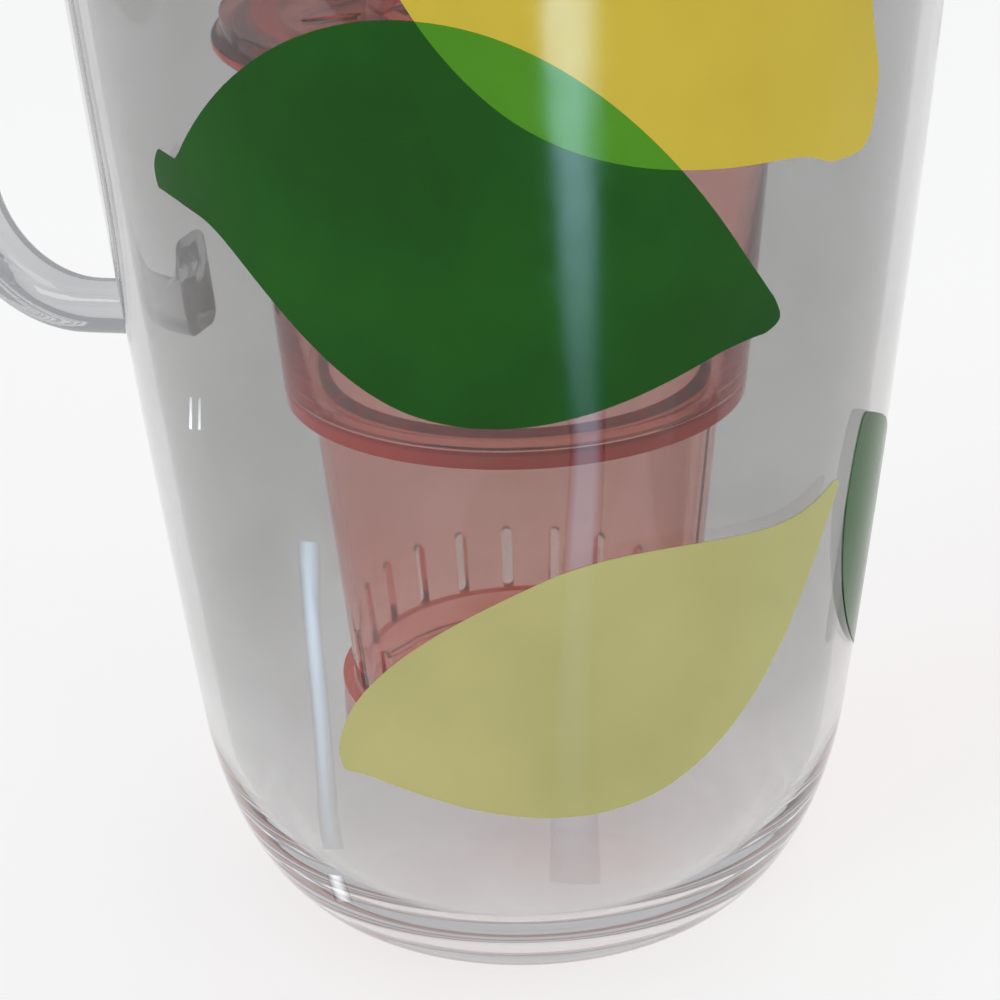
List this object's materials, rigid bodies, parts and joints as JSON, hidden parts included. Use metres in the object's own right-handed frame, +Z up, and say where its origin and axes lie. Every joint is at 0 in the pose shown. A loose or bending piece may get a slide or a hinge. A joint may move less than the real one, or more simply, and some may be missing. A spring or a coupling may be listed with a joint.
{
  "type": "fruit infuser pitcher",
  "caption": "Tapered clear jug with a loop handle, a lid with a hinged pouring flap and filler cap, and a stepped coral infuser hanging inside.",
  "frame": {"origin": "centre of the flat base that the pitcher stands on", "axes": "+Z up along the pitcher's axis, -X towards the handle, +X towards the pouring beak"},
  "size_m": [0.2002, 0.1462, 0.2596],
  "materials": {
    "clear_plastic": "clear, glossy, faintly grey",
    "coral_plastic": "translucent coral, glossy, deeper at its edges",
    "silicone": "soft matt silicone",
    "print": "screen-printed translucent ink"
  },
  "bodies": {
    "jug": {"jug_body": "clear_plastic", "handle": "clear_plastic"},
    "lid": {"lid": "coral_plastic", "lid_gasket": "silicone", "flap_pin": "coral_plastic"},
    "flap": {"pour_flap": "coral_plastic", "flap_seal": "silicone"},
    "cap_seal": {"cap_seal": "silicone"},
    "filler_cap": {"filler_cap": "coral_plastic"},
    "stem": {"infuser_stem": "coral_plastic", "stem_seal": "silicone"},
    "cup": {"infuser_cup": "coral_plastic"},
    "basket": {"infuser_basket": "coral_plastic"},
    "base_cap": {"basket_base": "coral_plastic"}
  },
  "joints": [
    {"name": "lid_lift", "type": "slide", "parent": "jug", "child": "lid", "axis": [0, 0, 1], "range_m": [0, 0.215]},
    {"name": "flap_open", "type": "hinge", "parent": "lid", "child": "flap", "pos_m": [0.04158, 0, 0.24865], "axis": [0, -1, 0], "range_deg": [0, 110]},
    {"name": "cap_rise", "type": "slide", "parent": "lid", "child": "cap_seal", "axis": [0, 0, 1], "range_m": [0, 0.009]},
    {"name": "cap_turn", "type": "hinge", "parent": "cap_seal", "child": "filler_cap", "pos_m": [0, 0, 0.25], "axis": [0, 0, 1], "range_deg": [0, 540]},
    {"name": "stem_turn", "type": "hinge", "parent": "lid", "child": "stem", "pos_m": [0, 0, 0.23], "axis": [0, 0, 1], "continuous": true},
    {"name": "cup_turn", "type": "hinge", "parent": "stem", "child": "cup", "pos_m": [0, 0, 0.14], "axis": [0, 0, 1], "continuous": true},
    {"name": "basket_lift", "type": "slide", "parent": "cup", "child": "basket", "axis": [0, 0, 1], "range_m": [0, 0.044]},
    {"name": "base_turn", "type": "hinge", "parent": "basket", "child": "base_cap", "pos_m": [0, 0, 0.03], "axis": [0, 0, 1], "continuous": true}
  ],
  "couplings": [
    {"joint": "cap_rise", "follows": "cap_turn", "m_per_rad": 0.000954}
  ]
}
